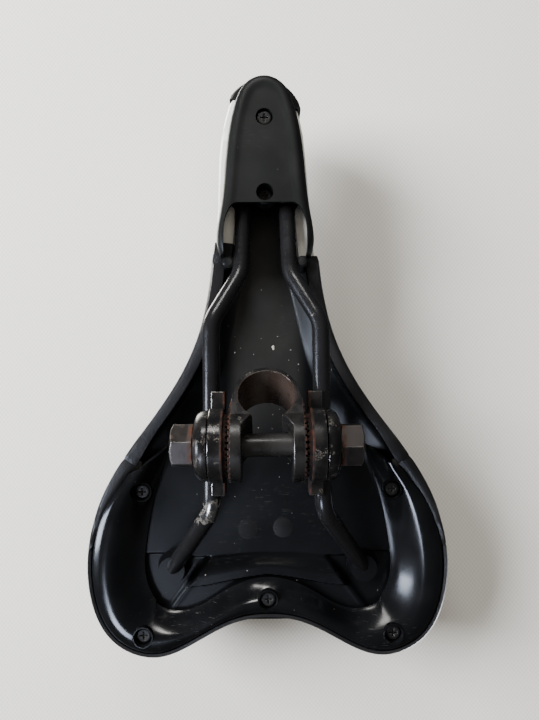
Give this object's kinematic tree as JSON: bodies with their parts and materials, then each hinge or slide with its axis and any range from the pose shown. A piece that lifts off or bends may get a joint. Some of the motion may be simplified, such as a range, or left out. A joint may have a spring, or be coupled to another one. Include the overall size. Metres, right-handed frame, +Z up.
{
  "type": "bicycle saddle",
  "caption": "Padded bicycle saddle on two steel rails, with a toothed seatpost clamp that tilts and a rail cradle that slides.",
  "frame": {"origin": "on the axis of the clamp's seatpost bore, at half the bore's length", "axes": "+Y from the nose to the rear, level with the straight stretch of the rails; +Z up, towards the rider; +X across the saddle"},
  "size_m": [0.1546, 0.2498, 0.0805],
  "materials": {
    "cover_vinyl": "grained black vinyl, satin",
    "panel_vinyl": "smooth white vinyl, slightly soiled",
    "foam": "dark grey moulded foam",
    "base_plastic": "satin black moulded plastic",
    "undercover_plastic": "satin black moulded plastic",
    "trim_plastic": "gloss black moulded plastic",
    "bumper_plastic": "matte black moulded plastic",
    "rail_steel": "black coated steel, worn at the clamp",
    "clamp_steel": "dark coated steel with rust at its edges",
    "fastener_steel": "dulled bronze-grey steel",
    "screw_steel": "blackened steel"
  },
  "bodies": {
    "clamp": {"clamp_band": "clamp_steel"},
    "rail_cradle": {"inner_plate_left": "clamp_steel", "inner_plate_right": "clamp_steel", "outer_plate_left": "clamp_steel", "outer_plate_right": "clamp_steel", "clamp_stud": "fastener_steel", "clamp_nut_left": "fastener_steel", "clamp_nut_right": "fastener_steel"},
    "saddle": {"rail_left": "rail_steel", "rail_right": "rail_steel", "cover_top": "cover_vinyl", "nose_bumper": "bumper_plastic", "side_panel_left": "panel_vinyl", "side_panel_right": "panel_vinyl", "side_skirt_left": "cover_vinyl", "side_skirt_right": "cover_vinyl", "foam_pad": "foam", "base_shell": "base_plastic", "wing_trim": "trim_plastic", "nose_undercover": "undercover_plastic", "front_rail_block": "base_plastic", "rear_socket_left": "base_plastic", "rear_socket_right": "base_plastic", "trim_screws": "screw_steel", "nose_screws": "screw_steel"}
  },
  "joints": [
    {"name": "tilt", "type": "hinge", "parent": "clamp", "child": "rail_cradle", "pos_m": [0, 0.01294, -0.00975], "axis": [1, 0, 0], "range_deg": [-30, 8]},
    {"name": "fore_aft", "type": "slide", "parent": "rail_cradle", "child": "saddle", "axis": [0, 1, 0], "range_m": [0, 0.024]}
  ]
}
